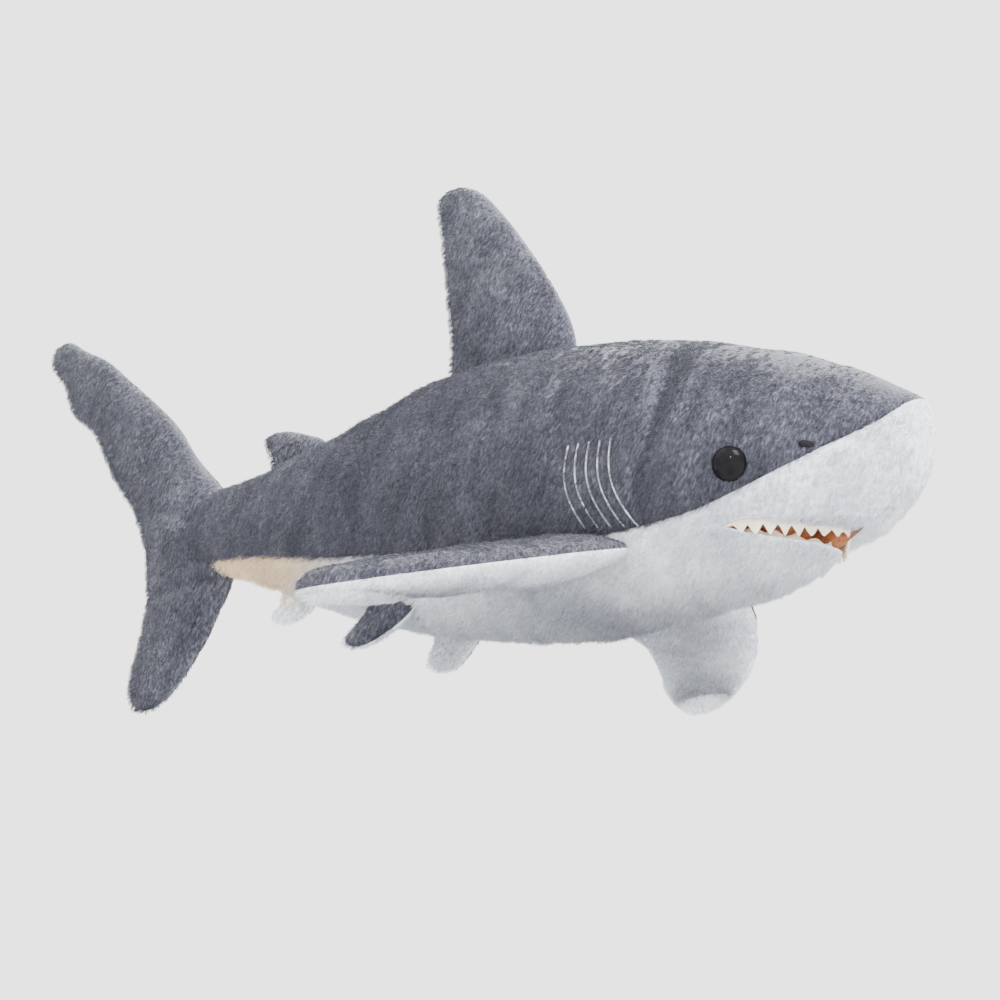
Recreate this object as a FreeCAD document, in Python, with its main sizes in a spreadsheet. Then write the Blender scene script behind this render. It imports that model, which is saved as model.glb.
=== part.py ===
import FreeCAD, Part
import math
import os
import Sketcher
from FreeCAD import Vector

# Plush shark, millimetres. +X is forward, +Y is the shark's left and +Z is up.
# The origin is the middle of the footprint, on the plane the fin tips stand on.
# The body, tail and fins are pillows: smooth lofts through oval sections. Each
# pillow is a fabric skin around a stuffing, and the skin is cut into its panels
# along the sewn seams.

os.makedirs("parts", exist_ok=True)
doc = FreeCAD.newDocument("plush_shark")

# ---- sizes kept in the sheet -------------------------------------------------
SIZES = {
    "fabric_thick": 1.8,
    "fin_fabric_thick": 1.4,
    "joint_gap": 0.8,
    "belly_flat_z": 5.6,
    "tail_hinge_x": -106.0,
    "tail_socket_radius": 10.0,
    "dorsal_root_radius": 6.5,
    "second_root_radius": 4.0,
    "anal_root_radius": 3.5,
    "pectoral_root_radius": 6.5,
    "pelvic_root_radius": 3.6,
    "pectoral_droop": 14.0,
    "pectoral_hinge_y": 43.8,
    "pectoral_hinge_z": 21.3,
    "eye_x": 147.4,
    "eye_z": 45.4,
    "eye_radius": 6.0,
    "eye_height": 4.2,
    "eye_stem_radius": 1.6,
    "eye_stem_length": 9.0,
    "washer_radius": 6.0,
    "washer_thick": 1.5,
    "nostril_x": 171.2,
    "nostril_z": 49.2,
    "nostril_radius": 0.9,
    "gill_thread_radius": 0.45,
    "gill_pitch": 4.1,
    "mouth_back_x": 139.0,
    "mouth_tongue_length": 24.0,
    "mouth_tongue_half_width": 21.0,
    "mouth_lining_thick": 1.0,
    "felt_thick": 1.1,
}
sheet = doc.addObject("Spreadsheet::Sheet", "sizes")
for row, (alias, value) in enumerate(SIZES.items(), start=1):
    sheet.set("A%d" % row, alias)
    sheet.set("B%d" % row, str(value))
    sheet.setAlias("B%d" % row, alias)
doc.recompute()


def size(alias):
    """The number in the sheet cell with this alias."""
    return float(sheet.get(alias))


# ---- outlines ----------------------------------------------------------------
# Body sections from tail to nose: x, top z, bottom z, half width.
BODY = [
    (-112.0, 82.6, 54.6, 11.0),
    (-104.0, 83.5, 52.5, 12.0),
    (-84.0, 86.0, 46.2, 16.5),
    (-64.0, 89.8, 38.2, 22.0),
    (-39.0, 94.5, 28.5, 28.5),
    (-9.0, 102.5, 18.3, 36.0),
    (21.0, 108.5, 11.0, 42.5),
    (51.0, 109.7, 6.4, 46.0),
    (81.0, 108.0, 4.8, 46.5),
    (111.0, 103.4, 7.2, 44.5),
    (136.0, 97.6, 10.4, 40.0),
    (156.0, 91.4, 14.6, 34.5),
    (171.0, 85.0, 20.0, 28.2),
    (183.0, 78.6, 26.8, 21.8),
    (192.0, 73.2, 33.6, 15.8),
    (198.0, 69.2, 41.0, 10.8),
    (201.2, 66.0, 49.0, 6.4),
]
NOSE_TIP = (202.5, 58.0)

# Seam between the grey back and the white underside: x, z.
SIDE_SEAM = [
    (-130.0, 56.0),
    (-84.0, 52.4),
    (-33.0, 42.2),
    (20.0, 34.0),
    (70.0, 28.0),
    (101.5, 28.3),
    (131.4, 32.0),
    (156.0, 40.0),
    (180.0, 51.3),
    (191.0, 58.0),
    (199.0, 65.5),
    (206.0, 72.0),
]

# Fins: span from the hinge line, front edge, back edge, thickness.
DORSAL = [
    (0.0, 64.0, 10.0, 13.0),
    (20.0, 55.0, 9.0, 12.7),
    (43.0, 40.8, 6.2, 11.0),
    (60.0, 27.8, 4.0, 8.1),
    (68.3, 17.6, 6.4, 4.5),
]
DORSAL_TIP = (70.0, 11.8)

SECOND_DORSAL = [
    (0.0, 12.0, -13.0, 8.0),
    (4.0, 7.0, -14.0, 7.6),
    (7.5, 1.0, -15.0, 6.6),
    (10.3, -5.0, -15.2, 4.6),
]
SECOND_DORSAL_TIP = (11.6, -10.5)

ANAL = [
    (0.0, 7.0, -7.0, 7.0),
    (4.0, 3.0, -8.5, 6.0),
    (7.5, -2.5, -10.0, 4.0),
]
ANAL_TIP = (9.0, -7.5)

PECTORAL = [
    (0.0, 107.0, 52.0, 15.0),
    (14.0, 103.5, 53.5, 15.0),
    (26.0, 97.5, 52.5, 14.4),
    (44.0, 87.5, 46.5, 13.0),
    (55.0, 79.0, 41.0, 11.6),
    (65.0, 69.5, 35.5, 9.6),
    (73.0, 59.0, 32.4, 7.2),
    (78.6, 49.0, 32.8, 4.6),
]
PECTORAL_TIP = (81.2, 40.0)

PELVIC = [
    (0.0, 9.5, -9.5, 7.2),
    (5.0, 7.0, -10.5, 7.0),
    (11.0, 2.0, -12.5, 5.6),
    (15.0, -2.5, -13.5, 3.6),
]
PELVIC_TIP = (16.8, -9.0)

# Tail fin from the lower tip to the upper tip: front edge x and z, back edge x
# and z, thickness.
TAIL = [
    (-137.6, 0.6, -145.4, 1.4, 2.2),
    (-131.5, 3.4, -148.8, 5.6, 5.0),
    (-126.0, 8.0, -149.0, 11.0, 7.6),
    (-118.5, 16.5, -147.2, 18.5, 10.0),
    (-111.0, 27.0, -143.4, 29.5, 12.5),
    (-103.5, 40.0, -140.4, 44.0, 15.5),
    (-97.5, 52.0, -140.2, 57.0, 18.0),
    (-96.5, 68.0, -143.2, 70.5, 18.5),
    (-102.5, 83.5, -150.0, 84.5, 17.0),
    (-116.5, 99.0, -160.6, 98.5, 14.5),
    (-128.0, 114.5, -169.6, 114.0, 13.0),
    (-141.0, 127.5, -177.0, 124.5, 12.0),
    (-157.0, 141.0, -187.5, 132.5, 10.5),
    (-172.5, 153.6, -192.0, 145.0, 8.5),
    (-187.0, 161.8, -200.6, 153.5, 5.6),
    (-195.2, 165.6, -201.4, 160.5, 2.2),
]

SECTION_POINTS = 12
TIP_HALF_CHORD = 2.4
TIP_HALF_THICK = 1.0
FILLING_EASE = 0.3


# ---- shape helpers -----------------------------------------------------------
def oval_wire(centre, half_u, half_v):
    """A closed smooth oval around centre with these two half-axis vectors."""
    points = []
    for i in range(SECTION_POINTS):
        angle = 2 * math.pi * (i + 0.5) / SECTION_POINTS
        points.append(centre + half_u * math.cos(angle) + half_v * math.sin(angle))
    curve = Part.BSplineCurve()
    curve.interpolate(points, PeriodicFlag=True)
    return Part.Wire([curve.toShape()])


def pillow(sections):
    """A solid loft; each section is an oval (centre, u, v) or a point to end in."""
    shapes = []
    for section in sections:
        if isinstance(section, Vector):
            shapes.append(Part.Vertex(section))
        else:
            shapes.append(oval_wire(*section))
    solid = Part.makeLoft(shapes, True, False)
    if solid.Volume < 0:
        solid.reverse()
    return solid


def body_pillow(inset):
    """The body's outer form, moved in by inset all over but at the tail end."""
    sections = []
    for x, top, bottom, half_width in BODY:
        middle = (top + bottom) / 2
        high = (top - bottom) / 2 - inset
        wide = half_width - inset
        if x > 150:
            x -= inset * (x - 150) / (NOSE_TIP[0] - 150)
        sections.append((Vector(x, 0, middle), Vector(0, wide, 0), Vector(0, 0, high)))
    sections.append(Vector(NOSE_TIP[0] - inset, 0, NOSE_TIP[1]))
    return pillow(sections)


class FinFrame:
    """Where a fin sits: hinge point, chord direction (forward) and span direction."""

    def __init__(self, hinge, chord, span):
        self.hinge = Vector(hinge)
        self.chord = Vector(chord).normalize()
        self.thick = self.chord.cross(Vector(span)).normalize()
        self.span = self.thick.cross(self.chord).normalize()

    def point(self, along, out):
        return self.hinge + self.chord * along + self.span * out

    def slab(self, low, high):
        """Everything between these two distances out along the span."""
        box = Part.makeBox(400, 100, high - low, Vector(-200, -50, low))
        turn = FreeCAD.Rotation(self.chord, self.thick * -1, self.span, "XZY")
        box.Placement = FreeCAD.Placement(self.hinge, turn)
        return box


def fin_ovals(frame, sections, tip, root_radius):
    """Ovals (centre, half chord, half thickness) of a fin rounded about its hinge."""
    front, back, thick = sections[0][1:]
    middle = (front + back) / 2
    ovals = []
    for share in (0.97, 0.85, 0.62, 0.33):
        shrink = math.sqrt(1 - share * share)
        ovals.append((frame.point(middle, -share * root_radius),
                      frame.chord * ((front - back) / 2 * shrink),
                      frame.thick * (thick / 2 * shrink)))
    for out, front, back, thick in sections:
        ovals.append((frame.point((front + back) / 2, out),
                      frame.chord * ((front - back) / 2),
                      frame.thick * (thick / 2)))
    ovals.append((frame.point(tip[1], tip[0]), frame.chord * TIP_HALF_CHORD,
                  frame.thick * TIP_HALF_THICK))
    return ovals


def tail_ovals():
    """Ovals of the tail fin, both lobes in one, from its lower tip upwards."""
    ovals = []
    for front_x, front_z, back_x, back_z, thick in TAIL:
        front = Vector(front_x, 0, front_z)
        back = Vector(back_x, 0, back_z)
        ovals.append(((front + back) * 0.5, (front - back) * 0.5, Vector(0, thick / 2, 0)))
    return ovals


def shortened(vector, by):
    """The vector made shorter by this much, but never quite nothing."""
    return vector * (max(vector.Length - by, 0.35) / vector.Length)


def half_arc(centre, u, v):
    """Points over one half of an oval, from its front edge to its back edge."""
    points = []
    for i in range(SECTION_POINTS // 2 + 1):
        angle = 2 * math.pi * i / SECTION_POINTS
        points.append(centre + u * math.cos(angle) + v * math.sin(angle))
    return points


def smooth_edge(points):
    curve = Part.BSplineCurve()
    curve.interpolate(points)
    return curve.toShape()


def lofted(wires):
    solid = Part.makeLoft(wires, True, False)
    if solid.Volume < 0:
        solid.reverse()
    return solid


def stuffing(ovals, fabric):
    """The filling inside a skin of this thickness."""
    inset = fabric + FILLING_EASE
    wires = []
    for centre, half_u, half_v in ovals:
        u, v = shortened(half_u, inset), shortened(half_v, inset)
        upper = half_arc(centre, u, v)
        lower = half_arc(centre, u, v * -1)
        wires.append(Part.Wire([smooth_edge(upper), smooth_edge(lower[::-1])]))
    return lofted(wires)


def half_skin(ovals, fabric, sign):
    """One fabric panel: the half of the skin on the sign side of the middle plane."""
    wires = []
    for centre, half_u, half_v in ovals:
        outer = half_arc(centre, half_u, half_v * sign)
        inner = half_arc(centre, shortened(half_u, fabric), shortened(half_v, fabric) * sign)
        wires.append(Part.Wire([
            smooth_edge(outer),
            Part.makeLine(outer[-1], inner[-1]),
            smooth_edge(inner[::-1]),
            Part.makeLine(inner[0], outer[0]),
        ]))
    return lofted(wires)


def mirrored(shape):
    """The same shape on the other side of the body."""
    return shape.mirror(Vector(0, 0, 0), Vector(0, 1, 0))


def big_block(x_min=-300.0, x_max=300.0, y_min=-300.0, y_max=300.0, z_min=-300.0, z_max=300.0):
    return Part.makeBox(x_max - x_min, y_max - y_min, z_max - z_min, Vector(x_min, y_min, z_min))


def side_prism(points, half_depth, close_to):
    """A slab across the body whose edge is a smooth line of (x, z) points."""
    line = [Vector(x, -half_depth, z) for x, z in points]
    curve = Part.BSplineCurve()
    curve.interpolate(line)
    corners = [Vector(x, -half_depth, z) for x, z in close_to]
    edges = [curve.toShape()]
    previous = line[-1]
    for corner in corners + [line[0]]:
        edges.append(Part.makeLine(previous, corner))
        previous = corner
    return Part.Face(Part.Wire(edges)).extrude(Vector(0, 2 * half_depth, 0))


def flat_prism(points, y_from, y_to):
    """A straight-edged slab across the body from (x, z) corners."""
    corners = [Vector(x, y_from, z) for x, z in points]
    wire = Part.makePolygon(corners + [corners[0]])
    return Part.Face(wire).extrude(Vector(0, y_to - y_from, 0))


def surface_point(solid, start, direction, reach=120.0):
    """Where a ray from inside the solid leaves it."""
    ray = Part.makeLine(start, start + direction * reach)
    inside = ray.common(solid)
    return max((v.Point for v in inside.Vertexes), key=lambda p: (p - start).Length)


def solids_only(shape):
    """One solid, or a compound when there are more."""
    solids = [s for s in shape.Solids if s.Volume > 0.05]
    if len(solids) == 1:
        return solids[0]
    return Part.makeCompound(solids)


def add_shape(label, shape):
    """A made shape as its own named object."""
    item = doc.addObject("Part::Feature", label)
    item.Label = label
    item.Shape = solids_only(shape)
    item.Placement = FreeCAD.Placement()
    named[label] = item
    return item


named = {}

# ---- body --------------------------------------------------------------------
fabric = size("fabric_thick")
gap = size("joint_gap")
hinge_x = size("tail_hinge_x")
socket = size("tail_socket_radius")
flat_z = size("belly_flat_z")

tail_post = Part.makeCylinder(socket, 300, Vector(hinge_x, 0, -100))
behind_hinge = big_block(x_max=hinge_x)


def body_form(inset):
    """The body moved in by inset, flat below and hollowed behind for the tail."""
    form = body_pillow(inset).cut(big_block(z_max=flat_z + inset))
    return form.cut(behind_hinge).cut(tail_post)


outer_body = body_form(0.0)
inner_body = body_form(fabric)
filling_body = body_form(fabric + FILLING_EASE)
body_skin = outer_body.cut(inner_body)

# ---- mouth -------------------------------------------------------------------
# The opening is a wedge that wraps around the front of the jaw. Its floor is the
# lower lip, its roof the upper lip, and the tongue-shaped middle stays filled.
mouth_back = size("mouth_back_x")
lining = size("mouth_lining_thick")
felt = size("felt_thick")
LIP_ROOF_Z = 28.4
LIP_FLOOR_BACK_Z = 25.6
LIP_FLOOR_FRONT_Z = 20.6


def mouth_wedge(grow):
    """The mouth opening, made bigger all round by grow."""
    wedge = flat_prism(
        [
            (mouth_back - grow, LIP_FLOOR_BACK_Z - grow),
            (230.0, LIP_FLOOR_FRONT_Z - 6.0 - grow),
            (230.0, LIP_ROOF_Z + grow),
            (mouth_back - grow, LIP_ROOF_Z + grow),
        ],
        -60,
        60,
    )
    tongue = Part.makeCylinder(size("mouth_tongue_half_width") - grow, 60, Vector(0, 0, 0))
    stretch = FreeCAD.Matrix()
    stretch.scale(
        (size("mouth_tongue_length") - grow) / (size("mouth_tongue_half_width") - grow), 1, 1
    )
    tongue = tongue.transformGeometry(stretch)
    tongue.translate(Vector(mouth_back - 4, 0, 0))
    return wedge.cut(tongue)


mouth_space = mouth_wedge(0.0)
mouth_lined = mouth_wedge(lining)
mouth_lining = mouth_lined.common(inner_body).cut(mouth_space)
skin_open = body_skin.cut(mouth_space)
stuffing_open = filling_body.cut(mouth_wedge(lining + FILLING_EASE))

# ---- eyes --------------------------------------------------------------------
def surface_frame(solid, x, z):
    """Point and outward normal on the body's left side at this x and z."""
    def hit(dx, dz):
        return surface_point(solid, Vector(x + dx, 0, z + dz), Vector(0, 1, 0))

    along = hit(1.0, 0) - hit(-1.0, 0)
    up = hit(0, 1.0) - hit(0, -1.0)
    normal = along.cross(up).normalize()
    if normal.y < 0:
        normal = normal * -1
    return hit(0, 0), normal


def turned_to(point, normal):
    """A placement whose own +Z points along the normal."""
    return FreeCAD.Placement(point, FreeCAD.Rotation(Vector(0, 0, 1), normal))


def plane_of(body, role):
    """One of the body's own origin planes."""
    return [f for f in body.Origin.OriginFeatures if f.Role == role][0]


def sketch_on(body, role, name):
    sketch = body.newObject("Sketcher::SketchObject", name)
    sketch.AttachmentSupport = [(plane_of(body, role), "")]
    sketch.MapMode = "FlatFace"
    return sketch


def bound(sketch, kind, geometry, point, value, formula):
    """A distance from the sketch origin, driven by a sheet formula."""
    index = sketch.addConstraint(Sketcher.Constraint(kind, -1, 1, geometry, point, value))
    sketch.setExpression("Constraints[%d]" % index, formula)


def eye_body(label):
    """A domed button with a stem, turned about its own Z axis."""
    radius, height = size("eye_radius"), size("eye_height")
    stem, length = size("eye_stem_radius"), size("eye_stem_length")
    ball = (radius ** 2 + height ** 2) / (2 * height)
    body = doc.addObject("PartDesign::Body", label)
    body.Label = label
    sketch = sketch_on(body, "XZ_Plane", label + "_outline")
    dome = Part.Circle(Vector(0, height - ball, 0), Vector(0, 0, 1), ball)
    dome_start = math.atan2(ball - height, radius)
    sketch.addGeometry(Part.ArcOfCircle(dome, dome_start, math.pi / 2), False)
    corners = [(0, height), (0, -length), (stem, -length), (stem, 0), (radius, 0)]
    for start, end in zip(corners, corners[1:]):
        sketch.addGeometry(Part.LineSegment(Vector(*start, 0), Vector(*end, 0)), False)
    sketch.addConstraint(Sketcher.Constraint("Coincident", 0, 2, 1, 1))
    for i in (1, 2, 3):
        sketch.addConstraint(Sketcher.Constraint("Coincident", i, 2, i + 1, 1))
    sketch.addConstraint(Sketcher.Constraint("Coincident", 4, 2, 0, 1))
    sketch.addConstraint(Sketcher.Constraint("PointOnObject", 0, 3, -2))
    sketch.addConstraint(Sketcher.Constraint("PointOnObject", 1, 1, -2))
    sketch.addConstraint(Sketcher.Constraint("PointOnObject", 1, 2, -2))
    sketch.addConstraint(Sketcher.Constraint("PointOnObject", 3, 2, -1))
    sketch.addConstraint(Sketcher.Constraint("PointOnObject", 4, 2, -1))
    sketch.addConstraint(Sketcher.Constraint("Horizontal", 2))
    sketch.addConstraint(Sketcher.Constraint("Vertical", 3))
    bound(sketch, "DistanceY", 1, 1, height, "sizes.eye_height")
    bound(sketch, "DistanceY", 1, 2, -length, "-sizes.eye_stem_length")
    bound(sketch, "DistanceX", 3, 2, stem, "sizes.eye_stem_radius")
    bound(sketch, "DistanceX", 4, 2, radius, "sizes.eye_radius")
    doc.recompute()
    turn = body.newObject("PartDesign::Revolution", label + "_turn")
    turn.Profile = sketch
    turn.ReferenceAxis = (sketch, ["V_Axis"])
    turn.Angle = 360.0
    body.Tip = turn
    doc.recompute()
    named[label] = body
    return body


def washer_body(label):
    """A flat ring padded up its own Z axis."""
    body = doc.addObject("PartDesign::Body", label)
    body.Label = label
    sketch = sketch_on(body, "XY_Plane", label + "_outline")
    radii = (("washer_radius", size("washer_radius")), ("eye_stem_radius", size("eye_stem_radius")))
    for i, (alias, radius) in enumerate(radii):
        sketch.addGeometry(Part.Circle(Vector(0, 0, 0), Vector(0, 0, 1), radius), False)
        sketch.addConstraint(Sketcher.Constraint("Coincident", i, 3, -1, 1))
        index = sketch.addConstraint(Sketcher.Constraint("Radius", i, radius))
        sketch.setExpression("Constraints[%d]" % index, "sizes." + alias)
    doc.recompute()
    pad = body.newObject("PartDesign::Pad", label + "_pad")
    pad.Profile = sketch
    pad.setExpression("Length", "sizes.washer_thick")
    body.Tip = pad
    doc.recompute()
    named[label] = body
    return body


EYE_SINK = 0.6
eye_point, eye_normal = surface_frame(outer_body, size("eye_x"), size("eye_z"))
for side, name in ((1, "left"), (-1, "right")):
    point = Vector(eye_point.x, eye_point.y * side, eye_point.z)
    normal = Vector(eye_normal.x, eye_normal.y * side, eye_normal.z)
    eye = eye_body("eye_" + name)
    eye.Placement = turned_to(point - normal * EYE_SINK, normal)
    washer = washer_body("eye_washer_" + name)
    depth = EYE_SINK + fabric + size("washer_thick") + 0.6
    washer.Placement = turned_to(point - normal * depth, normal)
    doc.recompute()
    eye_seat = eye.Shape.copy()
    washer_seat = washer.Shape.copy()
    skin_open = skin_open.cut(eye_seat)
    stuffing_open = stuffing_open.cut(eye_seat).cut(washer_seat)

add_shape("body_stuffing", stuffing_open)
add_shape("mouth_lining", mouth_lining)

# The skin is cut into grey back panels, white face panels and one belly panel.
above_seam = side_prism(SIDE_SEAM, 80, [(206.0, 220.0), (-130.0, 220.0)])
FACE_EDGE = [(230.0, 24.0), (176.0, 24.5), (143.0, 27.4), (126.0, 34.0), (126.0, 120.0), (230.0, 120.0)]
face_zone = flat_prism(FACE_EDGE, -80, 80)
left_skin = skin_open.common(big_block(y_min=0.0))
white_skin = left_skin.cut(above_seam)
left_belly = solids_only(white_skin.cut(face_zone))
panels = {
    "back_panel": left_skin.common(above_seam),
    "face_panel": white_skin.common(face_zone),
}
for name, panel in panels.items():
    panel = solids_only(panel)
    add_shape(name + "_left", panel)
    add_shape(name + "_right", mirrored(panel))
add_shape("belly_panel", left_belly.fuse(mirrored(left_belly)).removeSplitter())

# ---- teeth -------------------------------------------------------------------
TEETH_CENTRE = Vector(mouth_back + 4.0, 0, 0)
UPPER_TEETH = 15
LOWER_TEETH = 11
TEETH_SPREAD = 84.0


def felt_band(depth, z_min, z_max):
    """A thin upright band that follows the lips at this depth under the skin."""
    zone = big_block(x_min=mouth_back - 2.0, z_min=z_min, z_max=z_max)
    return body_pillow(depth).common(zone).cut(body_pillow(depth + felt).common(zone))


def tooth(angle, root_z, tip_z, half_width):
    """A wedge that keeps one triangle of the band, pointing from root to tip."""
    corners = [
        Vector(0, -half_width, root_z),
        Vector(0, half_width, root_z),
        Vector(0, 0.25, tip_z),
        Vector(0, -0.25, tip_z),
    ]
    wedge = Part.Face(Part.makePolygon(corners + [corners[0]])).extrude(Vector(40, 0, 0))
    wedge.translate(TEETH_CENTRE + Vector(24, 0, 0))
    wedge.rotate(TEETH_CENTRE, Vector(0, 0, 1), angle)
    return wedge


def teeth(band, count, root_z, tip_z, half_width):
    wedges = []
    for i in range(count):
        angle = TEETH_SPREAD * (2 * i / (count - 1) - 1)
        wedges.append(tooth(angle, root_z, tip_z, half_width))
    return band.common(Part.makeCompound(wedges))


UPPER_GUM_Z = 27.0
upper_band = felt_band(fabric + 0.2, 20.0, LIP_ROOF_Z)
upper_gum = upper_band.common(big_block(z_min=UPPER_GUM_Z))
upper_felt = upper_gum.fuse(teeth(upper_band, UPPER_TEETH, UPPER_GUM_Z, 23.2, 2.1))
upper_felt = upper_felt.common(mouth_space)
add_shape("upper_teeth_felt", upper_felt.removeSplitter())

# The lower band leans with the lower lip: its gum is cut by a copy of the lip.
lower_lip = flat_prism(
    [
        (mouth_back, LIP_FLOOR_BACK_Z - 0.2),
        (230.0, LIP_FLOOR_FRONT_Z - 6.2),
        (230.0, LIP_FLOOR_FRONT_Z - 5.0),
        (mouth_back, LIP_FLOOR_BACK_Z + 1.0),
    ],
    -60,
    60,
)
lower_band = felt_band(fabric + 1.6, 16.0, 25.0)
lower_felt = lower_band.common(lower_lip).fuse(teeth(lower_band, LOWER_TEETH, 19.0, 24.0, 2.6))
lower_felt = lower_felt.common(mouth_space).cut(upper_felt)
add_shape("lower_teeth_felt", lower_felt)

# ---- gill and nostril stitches -----------------------------------------------
GILL_TOP = (91.0, 59.2)
GILL_BOTTOM = (93.6, 31.0)
GILL_COUNT = 5
GILL_BOW = 3.4
GILL_FAN = 0.65
thread = size("gill_thread_radius")


def stitch(solid, path, radius):
    """A round thread laid on the left surface through (x, z) points."""
    points = []
    for x, z in path:
        hit = surface_point(solid, Vector(x, 15, z), Vector(0, 1, 0))
        points.append(hit + Vector(0, radius * 0.35, 0))
    curve = Part.BSplineCurve()
    curve.interpolate(points)
    edge = curve.toShape()
    start = points[0]
    along = (points[1] - points[0]).normalize()
    ring = Part.Wire([Part.makeCircle(radius, start, along)])
    pipe = Part.Wire([edge]).makePipeShell([ring], True, False)
    return pipe.cut(solid)


def gill_path(index):
    """One gill line: it bows backwards and its lower end fans forwards."""
    path = []
    for step in range(5):
        t = step / 4
        x = GILL_TOP[0] + (GILL_BOTTOM[0] - GILL_TOP[0]) * t - GILL_BOW * math.sin(math.pi * t)
        z = GILL_TOP[1] + (GILL_BOTTOM[1] - GILL_TOP[1]) * t
        x += index * (size("gill_pitch") + GILL_FAN * t)
        z -= index * 0.5 * t
        path.append((x, z))
    return path


gill_zone = outer_body.common(big_block(80.0, 125.0, 10.0, 60.0, 20.0, 70.0))
threads = [stitch(gill_zone, gill_path(i), thread) for i in range(GILL_COUNT)]
gills = Part.makeCompound(threads)
add_shape("gill_stitches_left", gills)
add_shape("gill_stitches_right", mirrored(gills))

nostril_x, nostril_z = size("nostril_x"), size("nostril_z")
nostril_zone = outer_body.common(big_block(160.0, 182.0, 10.0, 60.0, 30.0, 60.0))
nostril_path = [
    (nostril_x - 2.0, nostril_z + 0.9),
    (nostril_x, nostril_z),
    (nostril_x + 2.0, nostril_z - 0.2),
]
nostril = stitch(nostril_zone, nostril_path, size("nostril_radius"))
add_shape("nostril_stitch_left", nostril)
add_shape("nostril_stitch_right", mirrored(nostril))

# ---- fins --------------------------------------------------------------------
fin_fabric = size("fin_fabric_thick")


def fin_solids(frame, sections, tip, root_radius):
    """The two panels of one fin, +thickness side first, and its stuffing."""
    ovals = fin_ovals(frame, sections, tip, root_radius)
    panels = [half_skin(ovals, fin_fabric, sign) for sign in (1, -1)]
    filling_zone = frame.slab(-0.9 * root_radius, tip[0] - 2 * fin_fabric)
    return panels + [stuffing(ovals, fin_fabric).common(filling_zone)]


def add_pair(prefix, names, solids):
    """A left fin and its mirror image on the right."""
    for name, solid in zip(names, solids):
        add_shape(prefix + "_left_" + name, solid)
        add_shape(prefix + "_right_" + name, mirrored(solid))


droop = math.radians(size("pectoral_droop"))
PECTORAL_HINGE = (0, size("pectoral_hinge_y"), size("pectoral_hinge_z"))
pectoral = FinFrame(PECTORAL_HINGE, (1, 0, 0), (0, math.cos(droop), -math.sin(droop)))
add_pair("pectoral", ("top", "bottom", "stuffing"),
         fin_solids(pectoral, PECTORAL, PECTORAL_TIP, size("pectoral_root_radius")))

PELVIC_ROOT = Vector(-3.0, 18.6, 22.6)
PELVIC_OUT = Vector(0.12, 0.56, -0.82).normalize()
pelvic_hinge = PELVIC_ROOT + PELVIC_OUT * (size("pelvic_root_radius") + gap)
pelvic = FinFrame(pelvic_hinge, (0.967, 0.11, -0.231), (-0.16, 0.42, -0.90))
add_pair("pelvic", ("outer", "inner", "stuffing"),
         fin_solids(pelvic, PELVIC, PELVIC_TIP, size("pelvic_root_radius")))

BACK_TOP_Z = 109.8
dorsal_hinge = (0, 0, BACK_TOP_Z + gap + size("dorsal_root_radius"))
dorsal = FinFrame(dorsal_hinge, (1, 0, 0), (0, 0, 1))

BACK_SLOPE = math.radians(10.5)
SECOND_ROOT = Vector(-63.0, 0, 90.0)
second_chord = Vector(math.cos(BACK_SLOPE), 0, math.sin(BACK_SLOPE))
second_span = Vector(-math.sin(BACK_SLOPE), 0, math.cos(BACK_SLOPE))
second_hinge = SECOND_ROOT + second_span * (size("second_root_radius") + gap)
second_dorsal = FinFrame(second_hinge, second_chord, second_span)

UNDER_SLOPE = math.radians(21.5)
ANAL_ROOT = Vector(-62.0, 0, 37.4)
anal_chord = Vector(math.cos(UNDER_SLOPE), 0, -math.sin(UNDER_SLOPE))
anal_span = Vector(-math.sin(UNDER_SLOPE), 0, -math.cos(UNDER_SLOPE))
anal_hinge = ANAL_ROOT + anal_span * (size("anal_root_radius") + gap)
anal = FinFrame(anal_hinge, anal_chord, anal_span)

middle_fins = [
    ("dorsal_fin", dorsal, DORSAL, DORSAL_TIP, "dorsal_root_radius"),
    ("second_dorsal_fin", second_dorsal, SECOND_DORSAL, SECOND_DORSAL_TIP, "second_root_radius"),
    ("anal_fin", anal, ANAL, ANAL_TIP, "anal_root_radius"),
]
for prefix, frame, sections, tip, root_alias in middle_fins:
    solids = fin_solids(frame, sections, tip, size(root_alias))
    sides = ("left", "right") if frame.thick.y > 0 else ("right", "left")
    add_shape("%s_%s_panel" % (prefix, sides[0]), solids[0])
    add_shape("%s_%s_panel" % (prefix, sides[1]), solids[1])
    add_shape(prefix + "_stuffing", solids[2])

# ---- tail fin ----------------------------------------------------------------
post = Part.makeCylinder(socket - gap * 0.7, 300, Vector(hinge_x, 0, -100))
tail_zone = behind_hinge.fuse(post)
tail = tail_ovals()
left_tail = solids_only(half_skin(tail, fin_fabric, 1).common(tail_zone))
add_shape("tail_fin_left_panel", left_tail)
add_shape("tail_fin_right_panel", mirrored(left_tail))
add_shape("tail_fin_stuffing", stuffing(tail, fin_fabric).common(tail_zone))

# ---- check and export --------------------------------------------------------
doc.recompute()
for item in doc.Objects:
    if {"Invalid", "Error"} & set(item.State):
        raise RuntimeError("%s is %s" % (item.Label, item.State))
for label, item in named.items():
    shape = item.Shape
    if shape.isNull() or not shape.isValid() or not shape.Solids:
        raise RuntimeError("%s has no valid solid" % label)
    shape.exportStep("parts/%s.step" % label)
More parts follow.
